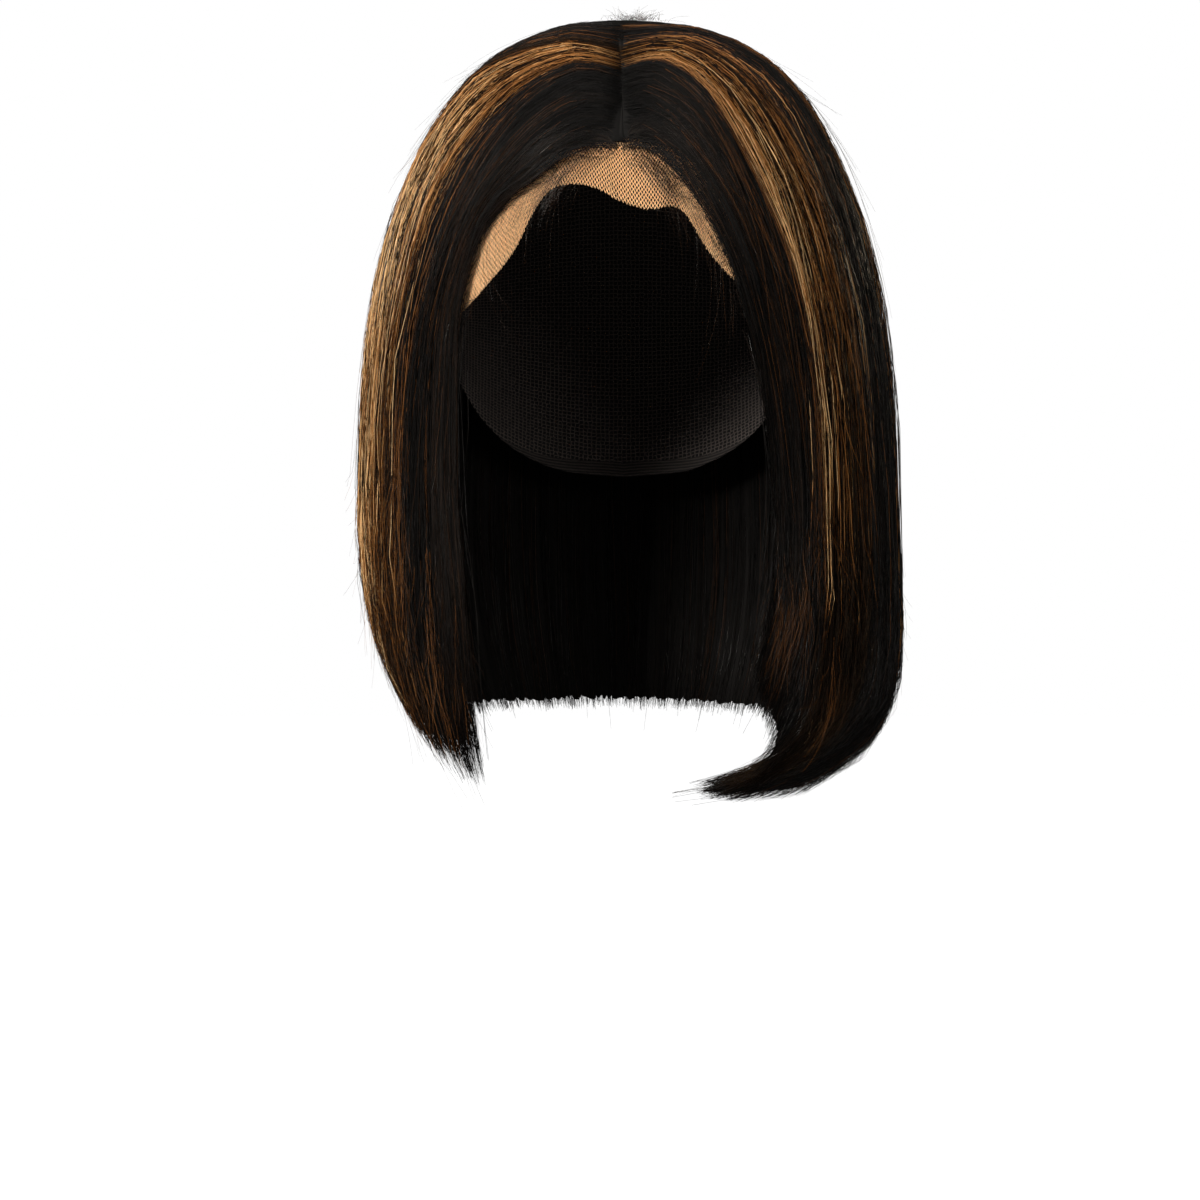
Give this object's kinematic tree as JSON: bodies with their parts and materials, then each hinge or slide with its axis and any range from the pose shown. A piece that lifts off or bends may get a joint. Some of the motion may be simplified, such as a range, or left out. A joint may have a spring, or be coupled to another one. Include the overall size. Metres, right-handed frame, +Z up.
{
  "type": "lace front wig",
  "caption": "Shoulder-length straight bob wig, centre part, caramel streaks in near-black hair, on a net cap with a sheer lace front; worn over the head.",
  "frame": {"origin": "inside top of the cap, where the crown of the head bears", "axes": "+Z up, face opening towards -Y, +X to the wearer's left"},
  "size_m": [0.2104, 0.2056, 0.299],
  "materials": {
    "cap_net": "black stretch net",
    "lace": "sheer tan lace net",
    "hair_dark": "silky near-black hair with a few brown strands",
    "hair_highlight": "silky caramel strands mixed with dark ones"
  },
  "bodies": {
    "root": {"cap": "cap_net", "lace_front": "lace", "front_lock_right": "hair_dark", "highlight_lock_right": "hair_highlight", "side_lock_right": "hair_dark", "back_lock_right": "hair_dark", "back_lock_left": "hair_dark", "side_lock_left": "hair_dark", "highlight_lock_left": "hair_highlight", "front_lock_left": "hair_dark"}
  },
  "joints": []
}
